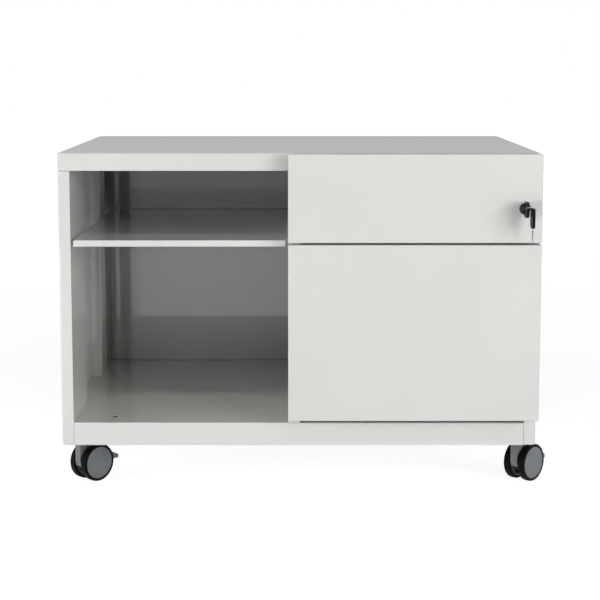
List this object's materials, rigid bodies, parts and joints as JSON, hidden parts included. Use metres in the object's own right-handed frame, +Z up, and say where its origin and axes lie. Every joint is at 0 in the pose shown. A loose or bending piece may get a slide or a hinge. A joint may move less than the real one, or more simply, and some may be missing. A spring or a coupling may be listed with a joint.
{
  "type": "mobile filing cabinet",
  "caption": "Low mobile steel filing cabinet with an open shelved bay, a lockable top drawer, a filing drawer and braked twin-wheel castors.",
  "frame": {"origin": "on the floor, under the middle of the whole part's bounding box, hanging spare key included", "axes": "+X to the right seen from the front, +Y to the back, +Z up"},
  "size_m": [0.863, 0.6104, 0.573],
  "materials": {
    "coated_steel": "semi-gloss warm light grey powder coat",
    "bright_steel": "zinc-plated steel",
    "bare_weight": "black primed steel slab",
    "lock_metal": "bright nickel",
    "key_black": "black moulded head over a steel blade",
    "castor_grey": "mid grey moulded nylon",
    "castor_steel": "steel pin",
    "castor_tread": "black soft tread"
  },
  "bodies": {
    "carcass": {"top_panel": "coated_steel", "ceiling_panel": "coated_steel", "left_side_panel": "coated_steel", "right_side_panel": "coated_steel", "base_pan": "coated_steel", "back_panel": "coated_steel", "divider_panel": "coated_steel", "bay_uprights": "coated_steel", "drawer_uprights": "coated_steel", "shelf": "coated_steel", "shelf_clips": "bright_steel", "counterweight": "bare_weight", "top_cabinet_runner_members": "bright_steel", "filing_cabinet_runner_members": "bright_steel", "castor_studs": "bright_steel", "castor_screws": "bright_steel"},
    "top_drawer": {"top_drawer_front": "coated_steel", "top_drawer_liner": "coated_steel", "top_drawer_tray": "coated_steel", "top_drawer_runner_members": "bright_steel", "lock_housing": "lock_metal"},
    "top_middle_members": {"top_middle_runner_members": "bright_steel"},
    "filing_drawer": {"filing_drawer_front": "coated_steel", "filing_drawer_liner": "coated_steel", "filing_drawer_tray": "coated_steel", "filing_drawer_runner_members": "bright_steel", "hanging_rails": "bright_steel"},
    "filing_middle_members": {"filing_middle_runner_members": "bright_steel"},
    "lock_cylinder": {"lock_plug": "lock_metal", "lock_cam": "bright_steel", "lock_key": "key_black"},
    "spare_key_on_ring": {"spare_key": "key_black", "key_ring": "lock_metal"},
    "locking_bar": {"lock_bar": "bright_steel"},
    "front_left_castor_swivel": {"front_left_castor_housing": "castor_grey", "front_left_castor_axle": "castor_steel"},
    "front_left_castor_left_wheel": {"front_left_castor_left_rim": "castor_grey", "front_left_castor_left_tyre": "castor_tread"},
    "front_left_castor_right_wheel": {"front_left_castor_right_rim": "castor_grey", "front_left_castor_right_tyre": "castor_tread"},
    "front_left_castor_pedal": {"front_left_castor_brake_pedal": "castor_grey"},
    "front_right_castor_swivel": {"front_right_castor_housing": "castor_grey", "front_right_castor_axle": "castor_steel"},
    "front_right_castor_left_wheel": {"front_right_castor_left_rim": "castor_grey", "front_right_castor_left_tyre": "castor_tread"},
    "front_right_castor_right_wheel": {"front_right_castor_right_rim": "castor_grey", "front_right_castor_right_tyre": "castor_tread"},
    "front_right_castor_pedal": {"front_right_castor_brake_pedal": "castor_grey"},
    "rear_left_castor_swivel": {"rear_left_castor_housing": "castor_grey", "rear_left_castor_axle": "castor_steel"},
    "rear_left_castor_left_wheel": {"rear_left_castor_left_rim": "castor_grey", "rear_left_castor_left_tyre": "castor_tread"},
    "rear_left_castor_right_wheel": {"rear_left_castor_right_rim": "castor_grey", "rear_left_castor_right_tyre": "castor_tread"},
    "rear_right_castor_swivel": {"rear_right_castor_housing": "castor_grey", "rear_right_castor_axle": "castor_steel"},
    "rear_right_castor_left_wheel": {"rear_right_castor_left_rim": "castor_grey", "rear_right_castor_left_tyre": "castor_tread"},
    "rear_right_castor_right_wheel": {"rear_right_castor_right_rim": "castor_grey", "rear_right_castor_right_tyre": "castor_tread"}
  },
  "joints": [
    {"name": "top_drawer_slide", "type": "slide", "parent": "carcass", "child": "top_drawer", "axis": [0, -1, 0], "range_m": [0, 0.4]},
    {"name": "top_middle_slide", "type": "slide", "parent": "carcass", "child": "top_middle_members", "axis": [0, -1, 0], "range_m": [0, 0.2]},
    {"name": "filing_drawer_slide", "type": "slide", "parent": "carcass", "child": "filing_drawer", "axis": [0, -1, 0], "range_m": [0, 0.4]},
    {"name": "filing_middle_slide", "type": "slide", "parent": "carcass", "child": "filing_middle_members", "axis": [0, -1, 0], "range_m": [0, 0.2]},
    {"name": "lock_turn", "type": "hinge", "parent": "top_drawer", "child": "lock_cylinder", "pos_m": [0.371, -0.2608, 0.483], "axis": [0, -1, 0], "range_deg": [0, 93]},
    {"name": "locking_bar_lift", "type": "slide", "parent": "carcass", "child": "locking_bar", "axis": [0, 0, 1], "range_m": [0, 0.008]},
    {"name": "spare_key_swing", "type": "hinge", "parent": "lock_cylinder", "child": "spare_key_on_ring", "pos_m": [0.371, -0.2912, 0.483], "axis": [1, 0, 0], "range_deg": [-20, 20]},
    {"name": "front_left_castor_turn", "type": "hinge", "parent": "carcass", "child": "front_left_castor_swivel", "pos_m": [-0.376, -0.1788, 0.064], "axis": [0, 0, 1], "continuous": true},
    {"name": "front_left_castor_left_roll", "type": "hinge", "parent": "front_left_castor_swivel", "child": "front_left_castor_left_wheel", "pos_m": [-0.36948, -0.15275, 0.0325], "axis": [-0.7314, 0.682, 0], "continuous": true},
    {"name": "front_left_castor_right_roll", "type": "hinge", "parent": "front_left_castor_swivel", "child": "front_left_castor_right_wheel", "pos_m": [-0.35047, -0.17048, 0.0325], "axis": [-0.7314, 0.682, 0], "continuous": true},
    {"name": "front_left_castor_brake", "type": "hinge", "parent": "front_left_castor_swivel", "child": "front_left_castor_pedal", "pos_m": [-0.34974, -0.15064, 0.041], "axis": [0.7314, -0.682, 0], "range_deg": [0, 12]},
    {"name": "front_right_castor_turn", "type": "hinge", "parent": "carcass", "child": "front_right_castor_swivel", "pos_m": [0.376, -0.1788, 0.064], "axis": [0, 0, 1], "continuous": true},
    {"name": "front_right_castor_left_roll", "type": "hinge", "parent": "front_right_castor_swivel", "child": "front_right_castor_left_wheel", "pos_m": [0.38252, -0.15275, 0.0325], "axis": [-0.7314, 0.682, 0], "continuous": true},
    {"name": "front_right_castor_right_roll", "type": "hinge", "parent": "front_right_castor_swivel", "child": "front_right_castor_right_wheel", "pos_m": [0.40153, -0.17048, 0.0325], "axis": [-0.7314, 0.682, 0], "continuous": true},
    {"name": "front_right_castor_brake", "type": "hinge", "parent": "front_right_castor_swivel", "child": "front_right_castor_pedal", "pos_m": [0.40226, -0.15064, 0.041], "axis": [0.7314, -0.682, 0], "range_deg": [0, 12]},
    {"name": "rear_left_castor_turn", "type": "hinge", "parent": "carcass", "child": "rear_left_castor_swivel", "pos_m": [-0.376, 0.2512, 0.064], "axis": [0, 0, 1], "continuous": true},
    {"name": "rear_left_castor_left_roll", "type": "hinge", "parent": "rear_left_castor_swivel", "child": "rear_left_castor_left_wheel", "pos_m": [-0.40153, 0.25952, 0.0325], "axis": [-0.7314, -0.682, 0], "continuous": true},
    {"name": "rear_left_castor_right_roll", "type": "hinge", "parent": "rear_left_castor_swivel", "child": "rear_left_castor_right_wheel", "pos_m": [-0.38252, 0.27725, 0.0325], "axis": [-0.7314, -0.682, 0], "continuous": true},
    {"name": "rear_right_castor_turn", "type": "hinge", "parent": "carcass", "child": "rear_right_castor_swivel", "pos_m": [0.376, 0.2512, 0.064], "axis": [0, 0, 1], "continuous": true},
    {"name": "rear_right_castor_left_roll", "type": "hinge", "parent": "rear_right_castor_swivel", "child": "rear_right_castor_left_wheel", "pos_m": [0.38252, 0.27725, 0.0325], "axis": [-0.7314, 0.682, 0], "continuous": true},
    {"name": "rear_right_castor_right_roll", "type": "hinge", "parent": "rear_right_castor_swivel", "child": "rear_right_castor_right_wheel", "pos_m": [0.40153, 0.25952, 0.0325], "axis": [-0.7314, 0.682, 0], "continuous": true}
  ],
  "couplings": [
    {"joint": "top_middle_slide", "follows": "top_drawer_slide", "ratio": 0.5},
    {"joint": "filing_middle_slide", "follows": "filing_drawer_slide", "ratio": 0.5},
    {"joint": "lock_turn", "follows": "locking_bar_lift", "rad_per_m": 196.3}
  ]
}
